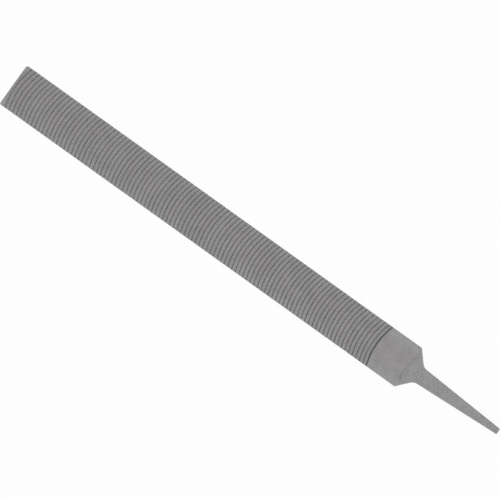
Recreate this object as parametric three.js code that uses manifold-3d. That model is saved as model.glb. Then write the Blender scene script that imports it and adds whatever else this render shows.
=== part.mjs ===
// A flat, rigid curved-tooth file with a tang, for filing aluminium and other soft metals.
// It is one bar of hardened steel: a body of even width and thickness with milled teeth on both faces,
// a bare heel, sloping shoulders and a tapering tang that a wooden handle would be driven onto.
//
// Frame: millimetres, +Z up. The file lies flat, with +X along its length towards the point and the tang at -X.
// The origin is at the centre of its length and width, on the plane that it lies on.

import * as THREE from "three";
import { mergeVertices } from "three/addons/utils/BufferGeometryUtils.js";
import Module from "manifold-3d";

// Body, measured from the point
const bodyLength = 304.8; // point to shoulders, the nominal 12 inches
const bodyWidth = 29.7;
const bodyThickness = 6.5;
const pointCornerRadius = 0.6;
const heelLength = 24; // bare faces between the last tooth and the shoulders

// Shoulders and tang
const shoulderAngle = 48.5; // degrees, from the file's length
const shoulderCornerRadius = 0.6;
const tangLength = 69.7; // shoulders to tip
const tangRootWidth = 11; // where the lines of the shoulders and the tang cross
const tangRootRadius = 6; // the hollow between shoulder and tang
const tangTipWidth = 4.1;
const tangTipThickness = 2.6;
const tangTipCornerRadius = 0.5;
const tangEdgeBreak = 0.7; // corners of the forging, taken off at 45 degrees
const shoulderEdgeBreak = 0.25;

// The crease where the ground body ends and the forged tang begins: a shallow step down on both faces, along a
// line that curves in plan. It is deepest some way beside the centreline, and fades into a ramp past there.
const creaseStart = 1.2; // shoulders to crease, on the centreline
const creaseRadius = 25;
const creaseDepth = 0.1; // on the centreline
const creaseSideDepth = 0.3;
const creaseSide = 8; // from the centreline
const creaseRun = 0.5;
const creaseFadedRun = 4.5;

// Teeth. Each gullet is an arc, as a hollow cutter leaves it, bulging towards the point.
const toothPitch = 2.813; // about nine teeth to the inch
const toothArcRadius = 45.4;
const firstEdge = 2.3; // point to the first cutting edge, on the centreline
const toothLand = 0.35; // the narrow flat behind each cutting edge
const gulletDepth = 0.75;
const gulletFloor = 0.38;
const rakeAngle = 6; // degrees; the front of a tooth leans back under its cutting edge
const heelGulletDepth = 1; // the last gullet is cut deeper, where the cutter leaves the heel
const heelGulletFloor = 0.5;

// How finely curves are divided
const arcSteps = 6;
const cornerSteps = 3;
const creaseSteps = 15; // an odd number, which leaves a flat down the middle of the tang

// How far a cutting tool reaches past the steel that it cuts
const overcut = 1;

const radians = THREE.MathUtils.degToRad;
const mapLinear = THREE.MathUtils.mapLinear;

// Places along the file and through its thickness
const pointX = (bodyLength + tangLength) / 2;
const shoulderX = pointX - bodyLength;
const shoulderDrop = (bodyWidth - tangRootWidth) / 2;
const rootX = shoulderX - shoulderDrop / Math.tan(radians(shoulderAngle));
const tipX = shoulderX - tangLength;
const endX = tipX - overcut;
const middleZ = bodyThickness / 2;

const wasm = await Module();
wasm.setup();

// A closed geometry as a solid that can be joined and cut.
function solidOf(geometry) {
  const bare = geometry.clone();
  bare.deleteAttribute("normal");
  bare.deleteAttribute("uv");
  const merged = mergeVertices(bare, 1e-4);
  const vertProperties = new Float32Array(merged.attributes.position.array);
  const triVerts = new Uint32Array(merged.index.array);
  return new wasm.Manifold(new wasm.Mesh({ numProp: 3, vertProperties, triVerts }));
}

function geometryOf(solid) {
  const mesh = solid.getMesh();
  const geometry = new THREE.BufferGeometry();
  geometry.setAttribute("position", new THREE.BufferAttribute(new Float32Array(mesh.vertProperties), 3));
  geometry.setIndex(new THREE.BufferAttribute(new Uint32Array(mesh.triVerts), 1));
  geometry.computeVertexNormals();
  return geometry;
}

// A closed skin over a row of flat sections, which all have the same number of corners in the same order.
function loft(sections) {
  const corners = sections[0].length;
  const positions = sections.flat().flatMap((corner) => corner.toArray());
  const index = [];
  for (let s = 0; s + 1 < sections.length; s++) {
    for (let c = 0; c < corners; c++) {
      const here = s * corners + c;
      const beside = s * corners + ((c + 1) % corners);
      index.push(here, beside, here + corners, beside, beside + corners, here + corners);
    }
  }
  const last = (sections.length - 1) * corners;
  for (let c = 1; c + 1 < corners; c++) {
    index.push(0, c + 1, c);
    index.push(last, last + c, last + c + 1);
  }
  const geometry = new THREE.BufferGeometry();
  geometry.setAttribute("position", new THREE.Float32BufferAttribute(positions, 3));
  geometry.setIndex(index);
  return geometry;
}

// The corners of a plan, each with the radius that rounds it, as one closed shape.
function roundedShape(corners) {
  const shape = new THREE.Shape();
  corners.forEach(({ at, radius }, i) => {
    const before = corners[(i + corners.length - 1) % corners.length].at;
    const after = corners[(i + 1) % corners.length].at;
    const back = before.clone().sub(at).normalize();
    const ahead = after.clone().sub(at).normalize();
    const halfAngle = Math.acos(back.dot(ahead)) / 2;
    const toTangent = radius / Math.tan(halfAngle);
    const start = at.clone().addScaledVector(back, toTangent);
    const end = at.clone().addScaledVector(ahead, toTangent);
    const centre = at.clone().addScaledVector(back.clone().add(ahead).normalize(), radius / Math.sin(halfAngle));
    const turnsRight = back.cross(ahead) > 0;
    if (i === 0) shape.moveTo(start.x, start.y);
    else shape.lineTo(start.x, start.y);
    shape.absarc(
      centre.x,
      centre.y,
      radius,
      Math.atan2(start.y - centre.y, start.x - centre.x),
      Math.atan2(end.y - centre.y, end.x - centre.x),
      turnsRight,
    );
  });
  shape.closePath();
  return shape;
}

// The blank seen from above: body, shoulders and tang.
function planSolid() {
  const side = [
    { x: pointX, y: bodyWidth / 2, radius: pointCornerRadius },
    { x: shoulderX, y: bodyWidth / 2, radius: shoulderCornerRadius },
    { x: rootX, y: tangRootWidth / 2, radius: tangRootRadius },
    { x: tipX, y: tangTipWidth / 2, radius: tangTipCornerRadius },
  ];
  const left = side.map(({ x, y, radius }) => ({ at: new THREE.Vector2(x, y), radius }));
  const right = side.map(({ x, y, radius }) => ({ at: new THREE.Vector2(x, -y), radius })).reverse();
  const geometry = new THREE.ExtrudeGeometry(roundedShape([...left, ...right]), {
    depth: bodyThickness,
    bevelEnabled: false,
    curveSegments: cornerSteps,
  });
  return solidOf(geometry);
}

// Where the crease lies along the file, at a distance from the centreline. It bulges towards the point.
function creaseXAt(y) {
  return shoulderX + creaseStart - creaseRadius + Math.sqrt(creaseRadius ** 2 - y ** 2);
}

// Thickness of the forging, which narrows evenly from the foot of the crease's step to the tip of the tang.
function forgedThicknessAt(x, y) {
  const beside = Math.min(Math.abs(y) / creaseSide, 1);
  const step = creaseDepth + (creaseSideDepth - creaseDepth) * beside ** 2;
  return mapLinear(x, creaseXAt(y), tipX, bodyThickness - 2 * step, tangTipThickness);
}

// The blank seen from the side, in sections across its width: even in thickness as far as the crease, then a
// step down, and then thinning to the tip of the tang.
function thicknessSolid() {
  const sections = [];
  const reach = bodyWidth / 2 + overcut;
  for (let i = 0; i <= creaseSteps; i++) {
    const y = -reach + (2 * reach * i) / creaseSteps;
    const startX = creaseXAt(y);
    const footX = startX - (Math.abs(y) > creaseSide ? creaseFadedRun : creaseRun);
    const footHalf = forgedThicknessAt(footX, y) / 2;
    const endHalf = forgedThicknessAt(endX, y) / 2;
    sections.push([
      new THREE.Vector3(pointX + overcut, y, 0),
      new THREE.Vector3(startX, y, 0),
      new THREE.Vector3(footX, y, middleZ - footHalf),
      new THREE.Vector3(endX, y, middleZ - endHalf),
      new THREE.Vector3(endX, y, middleZ + endHalf),
      new THREE.Vector3(footX, y, middleZ + footHalf),
      new THREE.Vector3(startX, y, bodyThickness),
      new THREE.Vector3(pointX + overcut, y, bodyThickness),
    ]);
  }
  return solidOf(loft(sections));
}

// A four-sided bar standing on its corner, as big as takes a small flat off each long edge of shoulders and tang.
function edgeBreakSolid() {
  const rootThickness = forgedThicknessAt(rootX, tangRootWidth / 2);
  const endWidth = mapLinear(endX, rootX, tipX, tangRootWidth, tangTipWidth);
  const endThickness = forgedThicknessAt(endX, tangTipWidth / 2);
  const stations = [
    { x: pointX + overcut, width: bodyWidth, thickness: bodyThickness, off: -overcut },
    { x: shoulderX + shoulderEdgeBreak, width: bodyWidth, thickness: bodyThickness, off: -overcut },
    { x: shoulderX, width: bodyWidth, thickness: bodyThickness, off: shoulderEdgeBreak },
    { x: rootX, width: tangRootWidth, thickness: rootThickness, off: tangEdgeBreak },
    { x: endX, width: endWidth, thickness: endThickness, off: tangEdgeBreak },
  ];
  const sections = stations.map(({ x, width, thickness, off }) => {
    const reach = (width + thickness) / 2 - off;
    return [
      new THREE.Vector3(x, reach, middleZ),
      new THREE.Vector3(x, 0, middleZ - reach),
      new THREE.Vector3(x, -reach, middleZ),
      new THREE.Vector3(x, 0, middleZ + reach),
    ];
  });
  return solidOf(loft(sections));
}

// The arc that a gullet follows across the file, with its apex at the origin and its centre at -X.
class GulletArc extends THREE.Curve {
  constructor(radius, halfAngle) {
    super();
    this.radius = radius;
    this.halfAngle = halfAngle;
  }

  getPoint(t, target = new THREE.Vector3()) {
    const angle = (2 * t - 1) * this.halfAngle;
    return target.set(this.radius * (Math.cos(angle) - 1), this.radius * Math.sin(angle), 0);
  }
}

// The steel that is milled out in front of one tooth. Its section has the cutting edge at the origin: x is the
// depth below the face, and y the distance towards the tang.
function gulletSolid(depth, floor) {
  const undercut = depth * Math.tan(radians(rakeAngle));
  const section = new THREE.Shape([
    new THREE.Vector2(-overcut, 0),
    new THREE.Vector2(0, 0),
    new THREE.Vector2(depth, undercut),
    new THREE.Vector2(depth, undercut - floor),
    new THREE.Vector2(0, toothLand - toothPitch),
    new THREE.Vector2(-overcut, toothLand - toothPitch),
  ]);
  const halfAngle = Math.asin((bodyWidth / 2 + overcut) / (toothArcRadius - undercut));
  const path = new GulletArc(toothArcRadius, halfAngle);
  return solidOf(new THREE.ExtrudeGeometry(section, { steps: arcSteps, extrudePath: path, bevelEnabled: false }));
}

// Distances from the point to each cutting edge, as far as the bare heel.
function edgePositions() {
  const toothedLength = bodyLength - heelLength - firstEdge;
  const count = Math.floor(toothedLength / toothPitch) + 1;
  return Array.from({ length: count }, (_, i) => firstEdge + i * toothPitch);
}

function fileSolid() {
  const edges = edgePositions();
  const gullet = gulletSolid(gulletDepth, gulletFloor);
  const heelGullet = gulletSolid(heelGulletDepth, heelGulletFloor);
  let file = planSolid().intersect(thicknessSolid()).intersect(edgeBreakSolid());
  edges.forEach((edge, i) => {
    const cutter = i === edges.length - 1 ? heelGullet : gullet;
    const upper = cutter.translate([pointX - edge, 0, bodyThickness]);
    const lower = cutter.rotate([180, 0, 0]).translate([pointX - edge, 0, 0]);
    file = file.subtract(upper).subtract(lower);
  });
  return file;
}

const steel = new THREE.MeshStandardMaterial({ color: 0x939292, metalness: 0.9, roughness: 0.45 });

const file = new THREE.Mesh(geometryOf(fileSolid()), steel);
file.name = "tanged_file";

const curvedToothFile = new THREE.Group();
curvedToothFile.add(file);

export default curvedToothFile;
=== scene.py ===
# A rigid curved-tooth file with a bare tang, laid flat on a plain pale floor and seen from straight above.
# Everything is in metres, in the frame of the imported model: +X along the file towards its point, +Y across
# it, +Z up, the lower face on z = 0 and the origin under the middle of the file.

import math

import bmesh
import bpy
from bpy.props import FloatProperty, FloatVectorProperty, IntProperty, PointerProperty
from mathutils import Matrix, Vector, noise


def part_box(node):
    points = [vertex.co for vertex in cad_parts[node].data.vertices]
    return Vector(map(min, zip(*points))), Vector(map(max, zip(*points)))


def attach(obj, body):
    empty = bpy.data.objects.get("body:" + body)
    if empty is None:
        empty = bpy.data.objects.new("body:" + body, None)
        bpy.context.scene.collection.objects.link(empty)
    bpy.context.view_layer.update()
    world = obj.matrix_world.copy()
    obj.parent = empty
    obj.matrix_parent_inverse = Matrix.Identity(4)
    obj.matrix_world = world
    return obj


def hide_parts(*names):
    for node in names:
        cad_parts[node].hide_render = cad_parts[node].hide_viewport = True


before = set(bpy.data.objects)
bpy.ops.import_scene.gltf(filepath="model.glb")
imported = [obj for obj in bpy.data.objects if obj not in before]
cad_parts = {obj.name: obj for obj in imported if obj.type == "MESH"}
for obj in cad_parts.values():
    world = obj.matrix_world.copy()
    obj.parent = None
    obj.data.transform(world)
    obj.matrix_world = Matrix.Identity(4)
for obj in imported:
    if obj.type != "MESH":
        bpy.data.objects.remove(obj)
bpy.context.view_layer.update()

bl_info = {
    "name": "Curved Tooth File",
    "version": (1, 0, 0),
    "blender": (4, 5, 0),
    "location": "View3D > Sidebar > File",
    "description": "Models a rigid curved-tooth file with a bare tang, its satin steel and a plain studio",
    "category": "Add Mesh",
}

MM = 0.001
CAD_NODE = "tanged_file"
CAD_LOW, CAD_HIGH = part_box(CAD_NODE)

# The file in the photograph, in pixels of its 500 by 500 frame
PHOTO_WIDTH_PX = 500.0
BODY_LENGTH_PX = 485.65
FILE_MIDDLE_PX = (255.85, 258.15)

# Spacing of the lines across the file, and how far ahead of the crease those of the corner start
HEEL_ROWS = 4 * MM
CORNER_ROWS = 0.3 * MM
CORNER_REACH = 6 * MM
CREASE_ROWS = 0.1 * MM
SHOULDER_ROWS = 0.4 * MM
TANG_ROWS = 2 * MM

# The bar is made longer than the file by the spare, and is cut off at the point. Only faces within reach of
# the point are cut. The lines across before it are given as shares of the larger corner radius there.
POINT_SPARE = 4 * MM
POINT_REACH = 5 * MM
POINT_LINES = (1.0, 0.7, 0.45, 0.3, 0.15, 0.05, 0.0)

# Roundings at the front and the back of a gullet's floor, as shares of it
FRONT_ROUNDING = 0.52
BACK_ROUNDING = 0.44

# Where the crease's step spreads out into the face, as shares of the way to its deepest place, and how far
SPREAD_START = 1.1
SPREAD_OVER = 0.25
SPREAD_WIDTHS = 8

# The largest rounding of a long edge, as a share of half of the width or thickness
LARGEST_ROUNDING = 0.7

# Hammering: how far past the crease it is full, its waves in a metre, and where in the noise each face lies
HAMMERED = 6 * MM
WAVES_ALONG = 110
WAVES_ACROSS = 60
UPPER_FACE = 3
LOWER_FACE = 9
SIDE_FACES = Vector((0, 5, 0))

# The waves ease off over these distances towards the middle of the thickness and the centreline
EASING_UPRIGHT = 0.5 * MM
EASING_ACROSS = 1 * MM

# Times that a bowed line is worked out again, because it depends on the width where it comes to lie
BOW_ROUNDS = 25

# Corners closer than this are merged, and edges that turn by more than this are shaded as sharp
MERGE_DISTANCE = 1e-6
SHARP_ANGLE = math.radians(40)

# Steel: where the paler strips start, the depth of the bump and the range that most of a noise lies in
STRIP_START = 8.5 * MM
BUMP_DEPTH = 0.006 * MM
NOISE_RANGE = (0.3, 0.7)

# The studio's floor and its two soft boxes
FLOOR_SIZE = 4.0
FLOOR_GAP = 0.05 * MM
KEY_PLACE = (0.9, 0.9, 1.5)
KEY_SIZE = 2.0
FILL_PLACE = (-1.3, -0.6, 1.3)
FILL_SIZE = 1.6


def length(name, description, default):
    """A size in metres."""
    return FloatProperty(name=name, description=description, default=default, unit="LENGTH", precision=5)


def angle(name, description, degrees):
    """An angle, kept in radians."""
    return FloatProperty(
        name=name, description=description, default=math.radians(degrees), subtype="ANGLE"
    )


def share(name, description, default):
    """A share between none and all."""
    return FloatProperty(
        name=name, description=description, default=default, min=0.0, max=1.0, subtype="FACTOR"
    )


def colour(name, description, default):
    """A colour in linear light."""
    return FloatVectorProperty(
        name=name, description=description, default=default, min=0.0, max=1.0, size=3, subtype="COLOR"
    )


def number(name, description, default):
    """A plain number."""
    return FloatProperty(name=name, description=description, default=default)


class BlankSizes(bpy.types.PropertyGroup):
    """The steel blank: body, shoulders and tang."""

    body_length: length("Body Length", "From the point to the shoulders", 304.8 * MM)
    heel_length: length("Heel Length", "Bare faces between the last tooth and the shoulders", 24 * MM)
    point_corner: length("Point Corner", "Radius of the body's left corner at the point", 0.6 * MM)
    worn_corner: length("Worn Corner", "Radius of the right corner there, which has been knocked", 1.6 * MM)
    body_edge: length("Body Edge", "Radius that breaks the body's long edges", 0.2 * MM)
    shoulder_angle: angle("Shoulder Angle", "Slope of the shoulders from the file's length", 48.5)
    shoulder_corner: length("Shoulder Corner", "Radius between body and shoulder", 0.6 * MM)
    tang_root_width: length("Tang Root Width", "Where the lines of shoulders and tang cross", 11 * MM)
    tang_root_hollow: length("Tang Root Hollow", "Radius between shoulder and tang", 6 * MM)
    tang_tip_width: length("Tang Tip Width", "Width of the tang's end", 4.1 * MM)
    tang_tip_thickness: length("Tang Tip Thickness", "Thickness of the tang's end", 2.6 * MM)
    tang_edge: length("Tang Edge", "Radius along the tang's long edges", 0.7 * MM)
    tang_end: length("Tang End", "Radius round the tang's end", 0.4 * MM)
    crease_start: length("Crease Start", "Where the forging starts, ahead of the shoulders", 1.2 * MM)
    crease_radius: length("Crease Radius", "The arc in plan that the forging starts along", 25 * MM)
    crease_lean: angle("Crease Lean", "How far that arc is turned about the centreline", 5)
    crease_width: length("Crease Width", "Width of the step down along that arc", 0.5 * MM)
    crease_depth: length("Crease Depth", "Depth of that step on the centreline", 0.1 * MM)
    crease_side_depth: length("Crease Side Depth", "Depth of that step beside the centreline", 0.3 * MM)
    crease_side: length("Crease Side", "Where the step is deepest, from the centreline", 8 * MM)
    forging_waves: length("Forging Waves", "How far the tang's faces wander", 0.06 * MM)


class ToothSizes(bpy.types.PropertyGroup):
    """The milled teeth."""

    pitch: length("Pitch", "From one cutting edge to the next", 2.813 * MM)
    arc_radius: length("Arc Radius", "Radius of each cutting edge, seen from above", 45.4 * MM)
    first_edge: length("First Edge", "From the point to the first cutting edge", 2.3 * MM)
    land: length("Land", "Flat behind each cutting edge", 0.35 * MM)
    depth: length("Depth", "Depth of a gullet", 0.75 * MM)
    floor: length("Floor", "Bottom of a gullet, before its corners are rounded", 0.38 * MM)
    heel_depth: length("Heel Depth", "Depth of the last gullet, at the heel", 1.0 * MM)
    heel_floor: length("Heel Floor", "Bottom of the last gullet", 0.5 * MM)
    rake: angle("Rake", "How far a tooth's front leans back under its cutting edge", 6)
    lean: angle("Lean", "How far the last arc is turned about the centreline; at the point none is", 1)
    hone: length("Hone", "Tiny flat that breaks each cutting edge", 0.03 * MM)
    columns: IntProperty(name="Columns", description="Divisions across the file", default=20, min=4)


class SteelLook(bpy.types.PropertyGroup):
    """The finish of the steel, and the painted shade in its gullets and crease."""

    steel: colour("Steel", "Satin steel down the middle of the heel", (0.2709, 0.2623, 0.2667))
    strips: colour("Strips", "Paler steel beside the long edges", (0.2853, 0.2832, 0.2857))
    forged: colour("Forged Steel", "Shoulders and tang", (0.2763, 0.2689, 0.273))
    milled: colour("Milled Steel", "Backs of the teeth", (0.2519, 0.2439, 0.2479))
    worn: colour("Worn Steel", "Edges rubbed bright", (0.36, 0.355, 0.355))
    # Gullet Tone and Crease Tone set painted shade in the gullets and the crease
    gullet: share("Gullet Tone", "How much of its tone the bottom of a gullet keeps", 0.65)
    crease: share("Crease Tone", "How much of its tone the crease before the tang keeps", 0.8)
    roughness: share("Roughness", "Roughness of the satin steel", 0.46)
    metallic: share("Metallic", "Share of metal in the surface", 0.9)


class StudioLook(bpy.types.PropertyGroup):
    """Floor, light and camera."""

    floor: colour("Floor", "Colour of the floor", (0.86, 0.86, 0.86))
    glow: share("Floor Glow", "How far the floor shows as pure white, and not with its shadow", 0.95)
    ambient: share("Ambient", "Level of the light from all round", 0.75)
    key_level: number("Key Level", "Brightness of the larger soft box", 0.5)
    fill_level: number("Fill Level", "Brightness of the smaller soft box", 0.35)
    lens: number("Lens", "Focal length, in millimetres", 400.0)
    turn: angle("Turn", "From level to the file's length, down to the right", 35.586)


def smooth_min(a, b, width):
    """The lower of two values, blended where they are closer than width."""
    near = max(width - abs(a - b), 0.0) / width
    return min(a, b) - near * near * width / 4


def smooth_step(value):
    """From 0 to 1 with a soft start and end."""
    value = min(max(value, 0.0), 1.0)
    return value * value * (3 - 2 * value)


def fall_back(distance, radius):
    """How far a rounded end has fallen back at a distance from where it stops."""
    inside = min(max(distance, 0.0), radius)
    return radius - math.sqrt(radius**2 - (radius - inside) ** 2)


def spaced(start, end, spacing):
    """Even stations after start, up to and with end, about spacing apart."""
    steps = max(1, round(abs(end - start) / spacing))
    return [start + (end - start) * i / steps for i in range(1, steps + 1)]


class FileShape:
    """The form of the file as formulas, worked out from its sizes."""

    def __init__(self, blank, teeth):
        self.blank = blank
        self.teeth = teeth
        self.half_body = (CAD_HIGH.y - CAD_LOW.y) / 2
        self.thickness = CAD_HIGH.z - CAD_LOW.z
        self.middle = self.thickness / 2
        self.point_x = CAD_HIGH.x
        self.tip_x = CAD_LOW.x
        self.shoulder_x = self.point_x - blank.body_length
        shoulder_drop = self.half_body - blank.tang_root_width / 2
        self.root_x = self.shoulder_x - shoulder_drop / math.tan(blank.shoulder_angle)
        self.crease_x = self.shoulder_x + blank.crease_start
        self.first_edge_x = self.point_x - teeth.first_edge
        toothed = blank.body_length - blank.heel_length - teeth.first_edge
        self.tooth_count = math.floor(toothed / teeth.pitch) + 1
        self.last_edge_x = self.first_edge_x - (self.tooth_count - 1) * teeth.pitch
        self.front_x = self.first_edge_x + teeth.pitch - teeth.land
        self.heel_x = self.last_edge_x - teeth.land

    def half_width(self, x, y=0.0):
        """Half of the outline's width, on the side of the centreline that y lies on."""
        blank = self.blank
        point_corner = blank.worn_corner if y < 0 else blank.point_corner
        slope = math.tan(blank.shoulder_angle)
        tang_slope = (blank.tang_root_width - blank.tang_tip_width) / 2 / (self.root_x - self.tip_x)
        shoulder = self.half_body - slope * (self.shoulder_x - x)
        tang = blank.tang_root_width / 2 - tang_slope * (self.root_x - x)
        corner_blend = blank.shoulder_corner * math.sin(blank.shoulder_angle) * slope / 2
        root_turn = math.sin(blank.shoulder_angle) - math.sin(math.atan(tang_slope))
        root_blend = blank.tang_root_hollow * root_turn * (slope - tang_slope) / 2
        outline = -smooth_min(-shoulder, -tang, root_blend)
        outline = smooth_min(self.half_body, outline, corner_blend)
        outline -= fall_back(self.point_x - x, point_corner)
        return outline - fall_back(x - self.tip_x, blank.tang_end)

    def past_crease(self, x, y):
        """How far a place lies past the crease, towards the tang."""
        radius = self.blank.crease_radius
        lag = radius - math.sqrt(radius**2 - y**2) - y * math.tan(self.blank.crease_lean)
        return self.crease_x - lag - x

    def half_thickness(self, x, y):
        """Half of the thickness: even on the body, a step down at the crease, then thinning to the tip."""
        blank = self.blank
        full = self.middle - fall_back(self.point_x - x, blank.body_edge)
        past = self.past_crease(x, y)
        if past <= 0:
            return full
        beside = abs(y) / blank.crease_side
        depth = blank.crease_depth + (blank.crease_side_depth - blank.crease_depth) * min(1.0, beside) ** 2
        spread = smooth_step((beside - SPREAD_START) / SPREAD_OVER)
        width = blank.crease_width * (1 + SPREAD_WIDTHS * spread)
        to_tip = past / (past + x - self.tip_x)
        forged = full - depth + (blank.tang_tip_thickness / 2 - full + depth) * to_tip
        forged += depth * (1 - smooth_step(past / width))
        return forged - fall_back(x - self.tip_x, blank.tang_end)

    def edge_radius(self, x):
        """Radius of the long edges: small on the body, larger on the forged tang."""
        blank = self.blank
        forged = smooth_step((self.shoulder_x - x) / (self.shoulder_x - self.root_x))
        radius = blank.body_edge + (blank.tang_edge - blank.body_edge) * forged
        widest = LARGEST_ROUNDING * self.half_width(x)
        thickest = LARGEST_ROUNDING * self.half_thickness(x, 0.0)
        return min(radius, widest, thickest)

    def across(self, x, y):
        """Where a column of the straight bar lies across the shaped file."""
        inset = self.half_body - abs(y)
        edge = self.edge_radius(x)
        if inset < self.blank.body_edge:
            place = self.half_width(x, y) - inset * edge / self.blank.body_edge
        else:
            place = abs(y) * (self.half_width(x, y) - edge) / (self.half_body - self.blank.body_edge)
        return math.copysign(place, y)

    def edge_drop(self, x, y):
        """How far a column of the straight bar has dropped, where it is on a rounded long edge."""
        edge = self.edge_radius(x)
        inset = (self.half_body - abs(y)) * edge / self.blank.body_edge
        return fall_back(inset, edge)

    def ahead_of_edge(self, x):
        """How far a place on the straight bar lies ahead of the cutting edge that its gullet serves."""
        teeth = self.teeth
        tooth = math.ceil((self.first_edge_x - teeth.land / 2 - x) / teeth.pitch)
        tooth = min(max(tooth, 0), self.tooth_count - 1)
        return x - (self.first_edge_x - tooth * teeth.pitch)

    def tooth_lag(self, x, y):
        """How far a tooth's leaning arc has fallen back at a place across the file."""
        radius = self.teeth.arc_radius + self.ahead_of_edge(x)
        lean = self.teeth.lean * (self.point_x - x) / (self.point_x - self.last_edge_x)
        return radius - math.sqrt(radius**2 - y**2) + y * math.tan(lean)

    def bowed(self, x, y):
        """Where a place on the straight bar comes to lie along the file, once its line across is bowed."""
        if x >= self.heel_x:
            return x - self.tooth_lag(x, y)
        bowed = x
        flat_end = self.crease_x - 2 * self.blank.crease_width
        for _ in range(BOW_ROUNDS):
            place = self.across(bowed, y)
            crease_lag = -self.past_crease(self.crease_x, place)
            if x > self.crease_x:
                heel_share = (x - self.crease_x) / (self.heel_x - self.crease_x)
                lag = crease_lag + (self.tooth_lag(self.heel_x, y) - crease_lag) * heel_share
            else:
                lag = crease_lag * min(1.0, max(0.0, (x - self.root_x) / (flat_end - self.root_x)))
            bowed = x - lag
        return bowed


def add_tooth_face(bm, shape, edge_x, depth, floor):
    """One pitch of the upper half of the side view, as a single face with its gullet's corners rounded."""
    teeth = shape.teeth
    undercut = depth * math.tan(teeth.rake)
    top = shape.thickness
    corners = [
        (-teeth.land, top),
        (0.0, top),
        (-undercut, top - depth),
        (floor - undercut, top - depth),
        (teeth.pitch - teeth.land, top),
        (teeth.pitch - teeth.land, shape.middle),
        (-teeth.land, shape.middle),
    ]
    verts = [bm.verts.new((edge_x + x, -shape.half_body, z)) for x, z in corners]
    bm.faces.new(verts)
    cutting_edge, floor_front, floor_back = verts[1:4]
    rounds = [
        (cutting_edge, teeth.hone, 1),
        (floor_front, FRONT_ROUNDING * floor, 6),
        (floor_back, BACK_ROUNDING * floor, 2),
    ]
    for vert, offset, segments in rounds:
        bmesh.ops.bevel(
            bm, geom=[vert], offset=offset, offset_type="OFFSET", segments=segments, profile=0.5,
            affect="VERTICES", material=-1, clamp_overlap=False,
        )


def edge_at(bm, x):
    """The upright edge of the side view at a place along the file."""
    return [e for e in bm.edges if all(abs(v.co.x - x) < 1e-7 for v in e.verts)]


def add_rows(bm, start_x, rows):
    """Carries the side view on from its end at start_x, to each row in turn."""
    edges = edge_at(bm, start_x)
    for x in rows:
        made = bmesh.ops.extrude_edge_only(bm, edges=edges)["geom"]
        verts = {g for g in made if isinstance(g, bmesh.types.BMVert)}
        for vert in verts:
            vert.co.x = x
        edges = [g for g in made if isinstance(g, bmesh.types.BMEdge) and set(g.verts) <= verts]


def make_side_view(bm, shape):
    """The side view of the straight bar as flat faces: teeth, heel, shoulders and tang."""
    teeth = shape.teeth
    add_tooth_face(bm, shape, shape.first_edge_x, teeth.depth, teeth.floor)
    one_tooth = bm.verts[:] + bm.edges[:] + bm.faces[:]
    for i in range(1, shape.tooth_count - 1):
        copied = bmesh.ops.duplicate(bm, geom=one_tooth)["geom"]
        verts = [g for g in copied if isinstance(g, bmesh.types.BMVert)]
        bmesh.ops.translate(bm, verts=verts, vec=(-i * teeth.pitch, 0, 0))
    add_tooth_face(bm, shape, shape.last_edge_x, teeth.heel_depth, teeth.heel_floor)
    bmesh.ops.remove_doubles(bm, verts=bm.verts[:], dist=MERGE_DISTANCE)

    blank = shape.blank
    corner_x = shape.crease_x + CORNER_REACH
    crease_end = shape.crease_x - blank.crease_width
    root_end = shape.root_x - blank.tang_root_hollow / 2
    end_start = shape.tip_x + blank.tang_end
    rows = spaced(shape.heel_x, corner_x, HEEL_ROWS)
    rows += spaced(corner_x, shape.crease_x, CORNER_ROWS)
    rows += spaced(shape.crease_x, crease_end, CREASE_ROWS)
    rows += spaced(crease_end, root_end, SHOULDER_ROWS)
    rows += spaced(root_end, end_start, TANG_ROWS)
    rows += [end_start - blank.tang_end * math.sin(math.radians(a)) for a in (30, 60, 90)]
    add_rows(bm, shape.heel_x, rows)
    add_rows(bm, shape.front_x, [shape.point_x + POINT_SPARE])
    bmesh.ops.mirror(
        bm, geom=bm.verts[:] + bm.edges[:] + bm.faces[:],
        matrix=Matrix.Translation((0, 0, -shape.middle)), axis="Z",
    )
    bmesh.ops.remove_doubles(bm, verts=bm.verts[:], dist=MERGE_DISTANCE)


def column_steps(shape):
    """The steps from column to column across the file: close together where the long edges are rounded."""
    edge = shape.blank.body_edge
    rounding = [edge * (1 - math.sin(math.radians(a))) for a in (90, 60, 30, 0)]
    near_edge = [b - a for a, b in zip(rounding, rounding[1:])]
    columns = shape.teeth.columns
    inner = [2 * (shape.half_body - edge) / columns] * columns
    return near_edge + inner + near_edge[::-1]


def extrude_across(bm, shape):
    """Carries the side view across the file, column by column, into a closed straight bar."""
    section = bm.faces[:] + bm.edges[:]
    for step in column_steps(shape):
        section = bmesh.ops.extrude_face_region(bm, geom=section)["geom"]
        verts = [g for g in section if isinstance(g, bmesh.types.BMVert)]
        bmesh.ops.translate(bm, verts=verts, vec=(0, step, 0))


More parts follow.
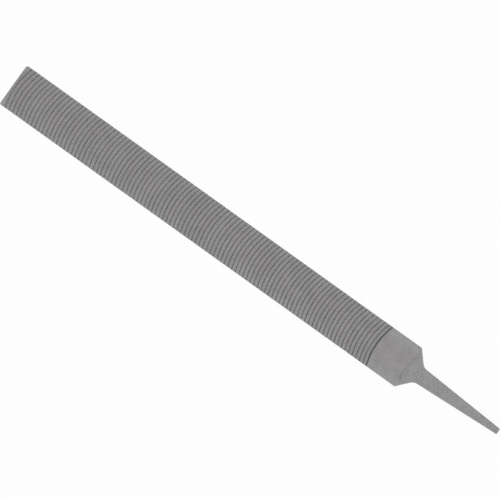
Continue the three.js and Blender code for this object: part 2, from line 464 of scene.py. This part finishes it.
def mark_surfaces(bm, shape):
    """Notes on the straight bar what the steel's finish and its painted shade depend on, before the bar is
    shaped.
    """
    teeth = shape.teeth
    gullet = bm.verts.layers.float.new("gullet")
    along = bm.verts.layers.float.new("along")
    level = bm.faces.layers.float.new("level")
    wear = bm.loops.layers.float.new("wear")
    for vert in bm.verts:
        # The margin takes in the line where the heel starts
        toothed = shape.heel_x - MM < vert.co.x < shape.front_x
        if toothed:
            # How far down its gullet a place lies, which sets the painted shade there
            vert[gullet] = (shape.middle - abs(vert.co.z - shape.middle)) / teeth.depth
        vert[along] = vert.co.x

    # The faces of the flats on the cutting edges are smaller than this
    largest_flat = 2 * teeth.hone * 2 * MM
    for face in bm.faces:
        centre = face.calc_center_median()
        lies_level = abs(face.normal.z) > 0.5
        if lies_level:
            face[level] = 1.0
        toothed = shape.heel_x < centre.x < shape.front_x and abs(face.normal.y) < 0.5
        if toothed:
            face.material_index = 1
        on_long_edge = lies_level and 0 < shape.half_body - abs(centre.y) < shape.blank.body_edge
        small_and_steep = face.calc_area() < largest_flat and abs(face.normal.x) > 0.3
        on_cutting_edge = toothed and small_and_steep and shape.ahead_of_edge(centre.x) > -teeth.hone
        if on_long_edge or on_cutting_edge:
            for loop in face.loops:
                loop[wear] = 1.0


def trim_point(bm, shape):
    """Cuts the bar square at the point, with a few lines across before it for its rounded corners."""
    corner = max(shape.blank.point_corner, shape.blank.worn_corner)
    for part in POINT_LINES:
        near = [f for f in bm.faces if any(v.co.x > shape.point_x - POINT_REACH for v in f.verts)]
        geom = {g for f in near for g in [f, *f.edges, *f.verts]}
        bmesh.ops.bisect_plane(
            bm, geom=list(geom), dist=1e-8, plane_co=(shape.point_x - part * corner, 0, 0),
            plane_no=(1, 0, 0), clear_outer=part == 0.0,
        )
    bmesh.ops.holes_fill(bm, edges=[e for e in bm.edges if e.is_boundary], sides=0)


def shape_bar(bm, shape):
    """Bends the straight bar's lines across into arcs, then gives it its outline, taper and rounded edges."""
    for vert in bm.verts:
        vert.co.x = shape.bowed(vert.co.x, vert.co.y)
    trim_point(bm, shape)
    for vert in bm.verts:
        x, y, z = vert.co
        vert.co.y = shape.across(x, y)
        half = shape.half_thickness(x, vert.co.y) - shape.edge_drop(x, y)
        vert.co.z = shape.middle + min(max(z - shape.middle, -half), half)


def mark_crease(bm, shape):
    """Notes how far each place lies past the crease, in metres."""
    past = bm.verts.layers.float.new("past_crease")
    for vert in bm.verts:
        vert[past] = shape.past_crease(vert.co.x, vert.co.y)


def add_forging_waves(bm, shape):
    """Lets the faces of the tang wander a little, as hammering leaves them."""
    for vert in bm.verts:
        past = shape.past_crease(vert.co.x, min(abs(vert.co.y), shape.half_body))
        forged = smooth_step(past / HAMMERED)
        if forged <= 0:
            continue
        depth = shape.blank.forging_waves * forged
        face = UPPER_FACE if vert.co.z > shape.middle else LOWER_FACE
        place = Vector((vert.co.x * WAVES_ALONG, vert.co.y * WAVES_ACROSS, face))
        from_middle = vert.co.z - shape.middle
        easing = min(1.0, abs(from_middle) / EASING_UPRIGHT)
        down = depth * (0.5 + 0.5 * noise.noise(place)) * easing
        vert.co.z -= math.copysign(down, from_middle)
        easing = min(1.0, abs(vert.co.y) / EASING_ACROSS)
        inward = depth * (0.5 + 0.5 * noise.noise(place + SIDE_FACES)) * easing
        vert.co.y -= math.copysign(inward, vert.co.y)


def put_in_order(bm):
    """Sorts the mesh by place, because the steps before leave it in an order that differs from run to run."""
    places = (
        (bm.verts, lambda vert: tuple(vert.co)),
        (bm.edges, lambda edge: sorted(tuple(vert.co) for vert in edge.verts)),
        (bm.faces, lambda face: tuple(face.calc_center_median())),
    )
    for elements, place in places:
        ranks = {element: rank for rank, element in enumerate(sorted(elements, key=place))}
        elements.sort(key=ranks.get)


def make_file_mesh(blank, teeth):
    """The whole file as one closed mesh."""
    shape = FileShape(blank, teeth)
    bm = bmesh.new()
    make_side_view(bm, shape)
    extrude_across(bm, shape)
    bmesh.ops.recalc_face_normals(bm, faces=bm.faces[:])
    mark_surfaces(bm, shape)
    shape_bar(bm, shape)
    mark_crease(bm, shape)
    add_forging_waves(bm, shape)
    bmesh.ops.recalc_face_normals(bm, faces=bm.faces[:])
    loose = [e for e in bm.edges if len(e.link_faces) != 2]
    if loose:
        raise RuntimeError(f"the file's mesh isn't closed at {len(loose)} edges")
    put_in_order(bm)
    mesh = bpy.data.meshes.new("curved_tooth_file")
    bm.to_mesh(mesh)
    bm.free()
    for polygon in mesh.polygons:
        polygon.use_smooth = True
    mesh.set_sharp_from_angle(angle=SHARP_ANGLE)
    return mesh


def set_input(tree, socket, value):
    """Links a node's input to where its value comes from, or sets it to a plain value."""
    if isinstance(value, bpy.types.NodeSocket):
        tree.links.new(value, socket)
    else:
        socket.default_value = value


def add_node(tree, kind, settings=(), inputs=()):
    """A node with its settings and its inputs."""
    node = tree.nodes.new(kind)
    for key, value in dict(settings).items():
        setattr(node, key, value)
    for key, value in dict(inputs).items():
        set_input(tree, node.inputs[key], value)
    return node


def maths(tree, operation, *values):
    """The result of a Math node."""
    node = add_node(tree, "ShaderNodeMath", settings={"operation": operation})
    for socket, value in zip(node.inputs, values):
        set_input(tree, socket, value)
    return node.outputs[0]


def product(tree, first, *others):
    """Several values multiplied together."""
    for other in others:
        first = maths(tree, "MULTIPLY", first, other)
    return first


def ramp(tree, value, from_low, from_high, to_low, to_high):
    """A value carried softly from one range to another, and kept inside it."""
    node = add_node(
        tree, "ShaderNodeMapRange", settings={"interpolation_type": "SMOOTHSTEP"},
        inputs={
            "Value": value, "From Min": from_low, "From Max": from_high,
            "To Min": to_low, "To Max": to_high,
        },
    )
    return node.outputs["Result"]


def new_group(name, inputs, outputs):
    """A new shader node group, and the nodes that bring its inputs and take its outputs.

    An input without a default is a place, and the others are numbers.
    """
    tree = bpy.data.node_groups.new(name, "ShaderNodeTree")
    for label, default in inputs.items():
        kind = "NodeSocketVector" if default is None else "NodeSocketFloat"
        socket = tree.interface.new_socket(name=label, in_out="INPUT", socket_type=kind)
        if default is not None:
            socket.default_value = default
    for label in outputs:
        tree.interface.new_socket(name=label, in_out="OUTPUT", socket_type="NodeSocketFloat")
    return tree, tree.nodes.new("NodeGroupInput"), tree.nodes.new("NodeGroupOutput")


def make_satin_grain():
    """Blasted steel: tiny pits under a coarser speckle, as tone round 1, roughness round 0 and height."""
    tree, given, result = new_group(
        "Satin Grain",
        {
            "Position": None,
            "Level": 0.0,
            "Grain Size": 0.0003,
            "Contrast": 0.05,
            "Speckle Size": 0.0005,
            "Speckle": 0.5,
        },
        ["Tone", "Roughness", "Height"],
    )
    position = given.outputs["Position"]
    scale = maths(tree, "DIVIDE", 1.0, given.outputs["Grain Size"])
    fine = add_node(
        tree, "ShaderNodeTexNoise",
        inputs={"Vector": position, "Scale": scale, "Detail": 4.0, "Roughness": 0.65},
    )

    # The pits are spaced wider than the fine grain, and add a third of their depth to it
    pits = add_node(
        tree, "ShaderNodeTexVoronoi",
        inputs={"Vector": position, "Scale": maths(tree, "MULTIPLY", scale, 0.7)},
    )
    pit = ramp(tree, pits.outputs["Distance"], 0.0, 0.3, 0.0, 1.0)
    height = maths(tree, "MULTIPLY_ADD", pit, 0.35, fine.outputs["Fac"])
    mean_height = 0.8
    centred = maths(tree, "SUBTRACT", height, mean_height)

    # On level faces the speckle keeps to one plane of its noise, which has no broad blotches
    split = add_node(tree, "ShaderNodeSeparateXYZ", inputs={"Vector": position})
    upright = maths(tree, "SUBTRACT", 1.0, given.outputs["Level"])
    depth = maths(tree, "MULTIPLY", split.outputs["Z"], upright)
    in_plane = add_node(
        tree, "ShaderNodeCombineXYZ",
        inputs={"X": split.outputs["X"], "Y": split.outputs["Y"], "Z": depth},
    )
    speckle_scale = maths(tree, "DIVIDE", 1.0, given.outputs["Speckle Size"])
    speckle = add_node(
        tree, "ShaderNodeTexNoise",
        inputs={
            "Vector": in_plane.outputs["Vector"], "Scale": speckle_scale, "Detail": 1.0, "Roughness": 0.5,
        },
    )
    spot = maths(tree, "SUBTRACT", speckle.outputs["Fac"], 0.5)
    grain_tone = maths(tree, "MULTIPLY_ADD", centred, given.outputs["Contrast"], 1.0)
    tone = maths(tree, "MULTIPLY_ADD", spot, given.outputs["Speckle"], grain_tone)
    tree.links.new(tone, result.inputs["Tone"])
    tree.links.new(maths(tree, "MULTIPLY", centred, 0.12), result.inputs["Roughness"])
    tree.links.new(height, result.inputs["Height"])
    return tree


def make_side_strips():
    """Where the faces are paler: along strips beside the long edges."""
    tree, given, result = new_group(
        "Side Strips", {"Across": 0.0, "Start": 0.009, "Full": 0.012, "Amount": 1.0}, ["Mask"]
    )
    distance = maths(tree, "ABSOLUTE", given.outputs["Across"])
    strip = ramp(tree, distance, given.outputs["Start"], given.outputs["Full"], 0.0, 1.0)
    tree.links.new(maths(tree, "MULTIPLY", strip, given.outputs["Amount"]), result.inputs["Mask"])
    return tree


def make_handling_tone():
    """Broad soft patches of tone, from hardening, oil and handling."""
    tree, given, result = new_group(
        "Handling Tone", {"Position": None, "Patch Size": 0.006, "Amount": 0.05}, ["Tone", "Roughness"]
    )
    scale = maths(tree, "DIVIDE", 1.0, given.outputs["Patch Size"])
    patches = add_node(
        tree, "ShaderNodeTexNoise",
        inputs={
            "Vector": given.outputs["Position"], "Scale": scale, "Detail": 2.5, "Roughness": 0.5,
            "Distortion": 0.4,
        },
    )
    patch = ramp(tree, patches.outputs["Fac"], *NOISE_RANGE, -1.0, 1.0)
    tone = maths(tree, "MULTIPLY_ADD", patch, given.outputs["Amount"], 1.0)
    tree.links.new(tone, result.inputs["Tone"])
    tree.links.new(maths(tree, "MULTIPLY", patch, -0.03), result.inputs["Roughness"])
    return tree


def make_tool_lines():
    """Fine lines that a grinding wheel or a milling cutter leaves, spaced along a coordinate."""
    tree, given, result = new_group(
        "Tool Lines",
        {"Coordinate": 0.0, "Position": None, "Spacing": 0.0002, "Amount": 0.05},
        ["Tone", "Height"],
    )

    # The lines wander a little from their places, in long drifts
    largest_wander = 0.0004
    drift = add_node(
        tree, "ShaderNodeTexNoise",
        inputs={"Vector": given.outputs["Position"], "Scale": 60.0, "Detail": 1.0},
    )
    wander = maths(tree, "MULTIPLY", drift.outputs["Fac"], largest_wander)
    wandered = maths(tree, "ADD", given.outputs["Coordinate"], wander)
    place = maths(tree, "DIVIDE", wandered, given.outputs["Spacing"])
    lines = add_node(
        tree, "ShaderNodeTexNoise", settings={"noise_dimensions": "1D"},
        inputs={"W": place, "Scale": 1.0, "Detail": 3.0, "Roughness": 0.7},
    )
    line = ramp(tree, lines.outputs["Fac"], *NOISE_RANGE, -1.0, 1.0)
    tone = maths(tree, "MULTIPLY_ADD", line, given.outputs["Amount"], 1.0)
    tree.links.new(tone, result.inputs["Tone"])
    tree.links.new(line, result.inputs["Height"])
    return tree


def make_edge_wear():
    """Where an edge is rubbed bright: broken up along its length."""
    tree, given, result = new_group(
        "Edge Wear",
        {"Position": None, "Edge": 0.0, "Breaks": 0.002, "Amount": 0.7},
        ["Mask", "Roughness"],
    )
    scale = maths(tree, "DIVIDE", 1.0, given.outputs["Breaks"])
    breaks = add_node(
        tree, "ShaderNodeTexNoise",
        inputs={"Vector": given.outputs["Position"], "Scale": scale, "Detail": 3.0},
    )
    rubbed = ramp(tree, breaks.outputs["Fac"], 0.35, 0.6, 0.0, 1.0)
    mask = product(tree, rubbed, given.outputs["Edge"], given.outputs["Amount"])
    tree.links.new(mask, result.inputs["Mask"])
    tree.links.new(maths(tree, "MULTIPLY", mask, -0.1), result.inputs["Roughness"])
    return tree


def place_groups(tree, groups, values):
    """The groups placed in a material, each with its own values."""
    return {
        name: add_node(tree, "ShaderNodeGroup", settings={"node_tree": groups[name]}, inputs=inputs)
        for name, inputs in values.items()
    }


def attribute(tree, name):
    """The value that the mesh carries under a name."""
    return add_node(tree, "ShaderNodeAttribute", settings={"attribute_name": name}).outputs["Fac"]


def mixed(tree, mask, plain, other):
    """A colour that goes over to another one where the mask is 1."""
    mix = add_node(tree, "ShaderNodeMix", settings={"data_type": "RGBA"})
    tree.links.new(mask, mix.inputs["Factor"])
    colours = [socket for socket in mix.inputs if socket.type == "RGBA"]
    for socket, value in zip(colours, (plain, other)):
        linked = isinstance(value, bpy.types.NodeSocket)
        set_input(tree, socket, value if linked else (*value, 1.0))
    return next(socket for socket in mix.outputs if socket.type == "RGBA")


def finish_steel(material, look, plain, effects, shade_tone, line_height):
    """Joins a steel's plain colour, the effects placed on it and its painted shade in its shader."""
    tree = material.node_tree
    grain, patches, lines, wear = [effects[name].outputs for name in ("grain", "tone", "lines", "wear")]
    shader = add_node(tree, "ShaderNodeBsdfPrincipled", inputs={"Metallic": look.metallic})
    # The painted shade darkens the colour together with grain, patches and lines
    tone = product(tree, grain["Tone"], patches["Tone"], lines["Tone"], shade_tone)
    toned = add_node(
        tree, "ShaderNodeVectorMath", settings={"operation": "SCALE"},
        inputs={"Vector": plain, "Scale": tone},
    )
    tree.links.new(mixed(tree, wear["Mask"], toned.outputs[0], look.worn), shader.inputs["Base Color"])
    rough = look.roughness
    for effect in (grain, patches, wear):
        rough = maths(tree, "ADD", effect["Roughness"], rough)
    tree.links.new(rough, shader.inputs["Roughness"])
    height = maths(tree, "MULTIPLY_ADD", lines["Height"], line_height, grain["Height"])
    bump = add_node(
        tree, "ShaderNodeBump", inputs={"Strength": 1.0, "Distance": BUMP_DEPTH, "Height": height},
    )
    tree.links.new(bump.outputs["Normal"], shader.inputs["Normal"])
    output = add_node(tree, "ShaderNodeOutputMaterial")
    tree.links.new(shader.outputs["BSDF"], output.inputs["Surface"])


def new_material(name):
    """An empty node material."""
    material = bpy.data.materials.new(name)
    material.use_nodes = True
    material.node_tree.nodes.clear()
    return material


def make_ground_steel(shape, look, groups):
    """The heel, safe edges, shoulders and tang: ground and blasted steel, with painted shade in the crease
    before the tang.
    """
    material = new_material("ground_steel")
    tree = material.node_tree
    position = add_node(tree, "ShaderNodeTexCoord").outputs["Object"]
    split = add_node(tree, "ShaderNodeSeparateXYZ", inputs={"Vector": position})
    y = split.outputs["Y"]
    past = attribute(tree, "past_crease")
    effects = place_groups(
        tree, groups,
        {
            "grain": {
                "Position": position,
                "Level": attribute(tree, "level"),
                "Grain Size": 0.25 * MM,
                "Contrast": 0.1,
                "Speckle Size": 0.8 * MM,
                "Speckle": ramp(tree, past, 0.0, 8 * MM, 0.65, 1.0),
            },
            "tone": {"Position": position, "Patch Size": 5 * MM, "Amount": 0.05},
            "lines": {"Coordinate": y, "Position": position, "Spacing": 0.15 * MM, "Amount": 0.012},
            "wear": {"Position": position, "Edge": attribute(tree, "wear"), "Amount": 0.25},
            "strips": {"Across": y, "Start": STRIP_START, "Full": 12 * MM},
        },
    )
    body = mixed(tree, effects["strips"].outputs["Mask"], look.steel, look.strips)
    plain = mixed(tree, ramp(tree, past, 0.0, 3 * MM, 0.0, 1.0), body, look.forged)

    # Painted shade darkens the crease, most where it is deepest and on the left
    shade_middle = 0.3 * MM
    off_shade = maths(tree, "ABSOLUTE", maths(tree, "SUBTRACT", past, shade_middle))
    side = maths(tree, "DIVIDE", maths(tree, "ABSOLUTE", y), shape.blank.crease_side)
    deeper = ramp(tree, side, 0.0, 1.0, 0.4, 1.0)
    ending = ramp(tree, side, 1.05, 1.3, 1.0, 0.0)
    left = ramp(tree, y, 0.0, 6 * MM, 0.8, 1.2)
    near = ramp(tree, off_shade, 0.1 * MM, 0.8 * MM, 1.0, 0.0)
    crease_shade = product(tree, deeper, ending, left, near)
    crease = maths(tree, "MULTIPLY_ADD", crease_shade, look.crease - 1.0, 1.0)
    finish_steel(material, look, plain, effects, crease, line_height=0.25)
    return material


def make_milled_steel(look, groups):
    """The teeth: the cutter's fine arcs on their backs, and painted shade that darkens the gullets."""
    material = new_material("milled_steel")
    tree = material.node_tree
    position = add_node(tree, "ShaderNodeTexCoord").outputs["Object"]
    split = add_node(tree, "ShaderNodeSeparateXYZ", inputs={"Vector": position})
    y = split.outputs["Y"]
    along = attribute(tree, "along")

    # The cutter drags the grain out along the arcs of the teeth
    drag = 0.6
    dragged = add_node(
        tree, "ShaderNodeCombineXYZ",
        inputs={"X": along, "Y": maths(tree, "MULTIPLY", y, drag), "Z": split.outputs["Z"]},
    )
    effects = place_groups(
        tree, groups,
        {
            "grain": {
                "Position": dragged.outputs["Vector"],
                "Level": attribute(tree, "level"),
                "Grain Size": 0.25 * MM,
                "Contrast": 0.15,
                "Speckle Size": 0.5 * MM,
                "Speckle": 1.3,
            },
            "tone": {"Position": position, "Patch Size": 9 * MM, "Amount": 0.025},
            "lines": {"Coordinate": along, "Position": position, "Spacing": 0.12 * MM, "Amount": 0.04},
            "wear": {"Position": position, "Edge": attribute(tree, "wear"), "Amount": 0.8},
            "strips": {"Across": y, "Start": STRIP_START, "Full": 13 * MM, "Amount": 0.3},
        },
    )
    plain = mixed(tree, effects["strips"].outputs["Mask"], look.milled, look.strips)

    # Painted shade darkens the bottoms of the gullets beyond their own shadow, more in some stretches than in
    # others
    down = attribute(tree, "gullet")
    deep = ramp(tree, down, 0.75, 1.0, 0.0, 1.0)
    stretches = add_node(
        tree, "ShaderNodeTexNoise",
        inputs={"Vector": position, "Scale": 1 / (5.5 * MM), "Detail": 3.0, "Roughness": 0.6},
    )
    stretch = ramp(tree, stretches.outputs["Fac"], *NOISE_RANGE, 0.6, 1.4)

    # The last gullet is deeper than the others, and its painted shade grows lighter towards its ends, most on
    # the right
    lighter_from = 11 * MM
    lightest_from = 15 * MM
    darkest_at = 0.8 * MM
    in_last = ramp(tree, down, 1.0, 1.15, 0.0, 1.0)
    off_middle = maths(tree, "ABSOLUTE", maths(tree, "SUBTRACT", y, darkest_at))
    lighter_ends = product(tree, in_last, ramp(tree, off_middle, lighter_from, lightest_from, 0.12, 1.0))
    # How much painted shade each gullet bottom gets
    gullet_shade = product(tree, deep, stretch, maths(tree, "SUBTRACT", 1.0, lighter_ends))
    gullet = maths(tree, "MULTIPLY_ADD", gullet_shade, look.gullet - 1.0, 1.0)
    finish_steel(material, look, plain, effects, gullet, line_height=0.4)
    return material


class CTF_OT_add_file(bpy.types.Operator):
    """Add the file: one steel bar with milled teeth, heel, shoulders and tang"""

    bl_idname = "curved_tooth_file.add_file"
    bl_label = "Add File"

    def execute(self, context):
        sizes = context.scene.curved_tooth_file
        shape = FileShape(sizes.blank, sizes.teeth)
        piece = bpy.data.objects.new("curved_tooth_file", make_file_mesh(sizes.blank, sizes.teeth))
        context.scene.collection.objects.link(piece)
        groups = {
            "grain": make_satin_grain(),
            "tone": make_handling_tone(),
            "lines": make_tool_lines(),
            "strips": make_side_strips(),
            "wear": make_edge_wear(),
        }
        piece.data.materials.append(make_ground_steel(shape, sizes.steel, groups))
        piece.data.materials.append(make_milled_steel(sizes.steel, groups))
        even = piece.modifiers.new("even_shading", "WEIGHTED_NORMAL")
        even.keep_sharp = True
        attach(piece, "root")
        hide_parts(CAD_NODE)
        return {"FINISHED"}


def seen_ray(tree):
    """1 for a ray from the camera, or one mirrored or let through on its way from it, and otherwise 0."""
    path = add_node(tree, "ShaderNodeLightPath")
    seen = maths(tree, "MAXIMUM", path.outputs["Is Camera Ray"], path.outputs["Is Glossy Ray"])
    return maths(tree, "MAXIMUM", seen, path.outputs["Is Transmission Ray"])


def make_floor_material(look):
    """A pale matt floor that shows white to the camera and keeps a faint shadow."""
    material = new_material("studio_floor")
    tree = material.node_tree
    matt = add_node(tree, "ShaderNodeBsdfDiffuse", inputs={"Color": (*look.floor, 1.0)})
    white = add_node(tree, "ShaderNodeEmission", inputs={"Color": (1.0, 1.0, 1.0, 1.0), "Strength": 1.0})
    mix = add_node(tree, "ShaderNodeMixShader")
    tree.links.new(maths(tree, "MULTIPLY", seen_ray(tree), look.glow), mix.inputs[0])
    tree.links.new(matt.outputs[0], mix.inputs[1])
    tree.links.new(white.outputs[0], mix.inputs[2])
    output = add_node(tree, "ShaderNodeOutputMaterial")
    tree.links.new(mix.outputs[0], output.inputs["Surface"])
    return material


def add_floor(scene, look):
    """A flat floor just under the file."""
    bm = bmesh.new()
    bmesh.ops.create_grid(bm, x_segments=1, y_segments=1, size=FLOOR_SIZE)
    bmesh.ops.translate(bm, verts=bm.verts[:], vec=(0, 0, -FLOOR_GAP))
    mesh = bpy.data.meshes.new("studio_floor")
    bm.to_mesh(mesh)
    bm.free()
    floor = bpy.data.objects.new("studio_floor", mesh)
    floor.data.materials.append(make_floor_material(look))
    scene.collection.objects.link(floor)


def light_world(scene, look):
    """Even light from all round, which the camera and the steel see as white."""
    world = bpy.data.worlds.new("studio_world")
    world.use_nodes = True
    tree = world.node_tree
    tree.nodes.clear()
    strength = maths(tree, "MULTIPLY_ADD", seen_ray(tree), 1.0 - look.ambient, look.ambient)
    background = add_node(
        tree, "ShaderNodeBackground", inputs={"Color": (1.0, 1.0, 1.0, 1.0), "Strength": strength}
    )
    output = add_node(tree, "ShaderNodeOutputWorld")
    tree.links.new(background.outputs[0], output.inputs["Surface"])
    scene.world = world


def add_lamp(scene, name, place, size, level):
    """A square soft box that faces the file. At a level of 1 it is as bright as white."""
    data = bpy.data.lights.new(name, "AREA")
    data.size = size
    data.energy = level * math.pi * size**2
    lamp = bpy.data.objects.new(name, data)
    lamp.location = place
    lamp.rotation_euler = Vector(place).to_track_quat("Z", "Y").to_euler()
    scene.collection.objects.link(lamp)


def add_camera(scene, look):
    """A long lens straight above, turned so that the file lies in the frame as in the photograph."""
    body_length = scene.curved_tooth_file.blank.body_length
    per_pixel = body_length / BODY_LENGTH_PX
    data = bpy.data.cameras.new("camera")
    data.lens = look.lens
    camera = bpy.data.objects.new("camera", data)
    turn = math.pi + look.turn
    right = Vector((math.cos(turn), math.sin(turn), 0))
    up = Vector((-math.sin(turn), math.cos(turn), 0))
    off_right, off_down = [PHOTO_WIDTH_PX / 2 - middle for middle in FILE_MIDDLE_PX]
    aim = right * off_right * per_pixel - up * off_down * per_pixel
    distance = look.lens / data.sensor_width * PHOTO_WIDTH_PX * per_pixel
    camera.location = aim + Vector((0, 0, CAD_HIGH.z + distance))
    camera.rotation_euler = (0, 0, turn)
    data.clip_end = 4 * distance
    scene.collection.objects.link(camera)
    scene.camera = camera


class CTF_OT_add_studio(bpy.types.Operator):
    """Add the floor, the lights and the camera"""

    bl_idname = "curved_tooth_file.add_studio"
    bl_label = "Add Studio"

    def execute(self, context):
        scene = context.scene
        look = scene.curved_tooth_file.studio
        add_floor(scene, look)
        light_world(scene, look)
        add_lamp(scene, "key_lamp", KEY_PLACE, KEY_SIZE, look.key_level)
        add_lamp(scene, "fill_lamp", FILL_PLACE, FILL_SIZE, look.fill_level)
        add_camera(scene, look)
        scene.view_settings.view_transform = "Standard"
        return {"FINISHED"}


class CurvedToothFile(bpy.types.PropertyGroup):
    """Everything that a user would change."""

    blank: PointerProperty(type=BlankSizes)
    teeth: PointerProperty(type=ToothSizes)
    steel: PointerProperty(type=SteelLook)
    studio: PointerProperty(type=StudioLook)


class CTF_PT_panel(bpy.types.Panel):
    """The file's operators and sizes in the sidebar"""

    bl_idname = "CTF_PT_panel"
    bl_label = "Curved Tooth File"
    bl_space_type = "VIEW_3D"
    bl_region_type = "UI"
    bl_category = "File"

    def draw(self, context):
        sizes = context.scene.curved_tooth_file
        layout = self.layout
        layout.operator(CTF_OT_add_studio.bl_idname)
        layout.operator(CTF_OT_add_file.bl_idname)
        for group in (sizes.blank, sizes.teeth, sizes.steel, sizes.studio):
            box = layout.box()
            for name in type(group).__annotations__:
                box.prop(group, name)


CLASSES = (
    BlankSizes,
    ToothSizes,
    SteelLook,
    StudioLook,
    CurvedToothFile,
    CTF_OT_add_studio,
    CTF_OT_add_file,
    CTF_PT_panel,
)


def register():
    for cls in CLASSES:
        bpy.utils.register_class(cls)
    bpy.types.Scene.curved_tooth_file = PointerProperty(type=CurvedToothFile)


def unregister():
    del bpy.types.Scene.curved_tooth_file
    for cls in reversed(CLASSES):
        bpy.utils.unregister_class(cls)


def main():
    register()
    bpy.ops.curved_tooth_file.add_studio()
    bpy.ops.curved_tooth_file.add_file()


if __name__ == "__main__":
    main()
